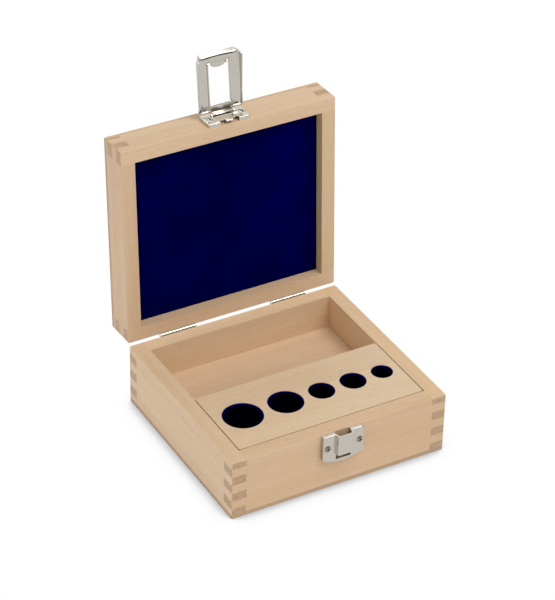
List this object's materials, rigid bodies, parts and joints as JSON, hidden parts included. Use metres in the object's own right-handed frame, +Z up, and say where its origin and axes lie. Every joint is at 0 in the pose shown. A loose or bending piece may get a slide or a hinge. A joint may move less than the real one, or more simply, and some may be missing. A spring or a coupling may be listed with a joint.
{
  "type": "wooden gauge case",
  "caption": "Finger-jointed wooden case with a velvet-lined hinged lid, round pockets in a block, a rear compartment and a loop latch.",
  "frame": {"origin": "centre of the base's underside", "axes": "+X along the front towards the right, +Y to the back where the hinges are, +Z up; the lid stands open and the latch loop stands up"},
  "size_m": [0.15, 0.1738, 0.2205],
  "materials": {
    "beech": "sanded and clear lacquered",
    "beech_plywood": "sanded and clear lacquered",
    "velvet": "short navy pile",
    "foam": "open-cell foam",
    "nickel_plate": "bright nickel plating",
    "screw_steel": "nickel-plated steel"
  },
  "bodies": {
    "base": {"base_front_wall": "beech", "base_rear_wall": "beech", "base_left_wall": "beech", "base_right_wall": "beech", "base_bottom_panel": "beech_plywood", "compartment_floor": "beech", "insert_block": "beech", "pocket_lining_1": "velvet", "pocket_lining_2": "velvet", "pocket_lining_3": "velvet", "pocket_lining_4": "velvet", "pocket_lining_5": "velvet", "hinge_left_base_leaf": "nickel_plate", "hinge_right_base_leaf": "nickel_plate", "hinge_left_pin": "screw_steel", "hinge_right_pin": "screw_steel", "hinge_base_screws": "screw_steel", "catch_plate": "nickel_plate", "catch_screws": "screw_steel"},
    "lid": {"lid_front_wall": "beech", "lid_rear_wall": "beech", "lid_left_wall": "beech", "lid_right_wall": "beech", "lid_top_panel": "beech_plywood", "lid_foam_pad": "foam", "lid_velvet": "velvet", "hinge_left_lid_leaf": "nickel_plate", "hinge_right_lid_leaf": "nickel_plate", "hinge_lid_screws": "screw_steel", "latch_plate": "nickel_plate", "latch_plate_screws": "screw_steel", "loop_pin": "screw_steel"},
    "loop": {"latch_loop": "nickel_plate"}
  },
  "joints": [
    {"name": "lid_hinge", "type": "hinge", "parent": "base", "child": "lid", "pos_m": [0, 0.06925, 0.04215], "axis": [1, 0, 0], "range_deg": [0, 93]},
    {"name": "loop_swing", "type": "hinge", "parent": "lid", "child": "loop", "pos_m": [0.0005, 0.0877, 0.18117], "axis": [1, 0, 0], "range_deg": [0, 94]}
  ]
}
